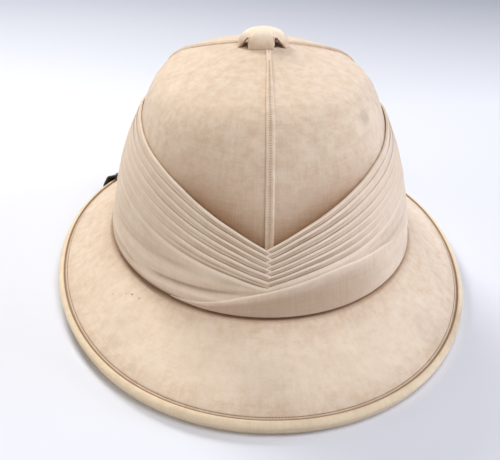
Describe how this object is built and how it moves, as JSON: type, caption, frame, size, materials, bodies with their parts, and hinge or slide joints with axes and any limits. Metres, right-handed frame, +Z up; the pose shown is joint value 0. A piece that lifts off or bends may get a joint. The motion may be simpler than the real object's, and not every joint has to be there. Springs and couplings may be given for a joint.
{
  "type": "pith helmet",
  "caption": "Pith sun helmet: domed cloth-covered crown with raised seams, pleated wrap, sloping bound brim, ventilator on top and a leather chin strap laid over the back of the brim.",
  "frame": {"origin": "middle of the helmet's outline, on the surface that the rim stands on", "axes": "+Z up, -Y the front, +Y the back, +X the wearer's left"},
  "size_m": [0.2814, 0.3654, 0.1735],
  "materials": {
    "cover_cloth": "matt cotton drill, sun-faded and lightly stained",
    "wrap_cloth": "matt fine cotton, pleated",
    "binding_cloth": "matt smooth tape",
    "strap_leather": "dark polished leather",
    "clip_brass": "dull brass"
  },
  "bodies": {
    "root": {"crown": "cover_cloth", "brim": "cover_cloth", "rim_binding": "binding_cloth", "pagri": "wrap_cloth", "seam_front": "cover_cloth", "seam_back": "cover_cloth", "seam_left": "cover_cloth", "seam_right": "cover_cloth", "vent_cap": "cover_cloth", "chin_strap": "strap_leather", "strap_clip_left": "clip_brass", "strap_clip_right": "clip_brass"}
  },
  "joints": []
}
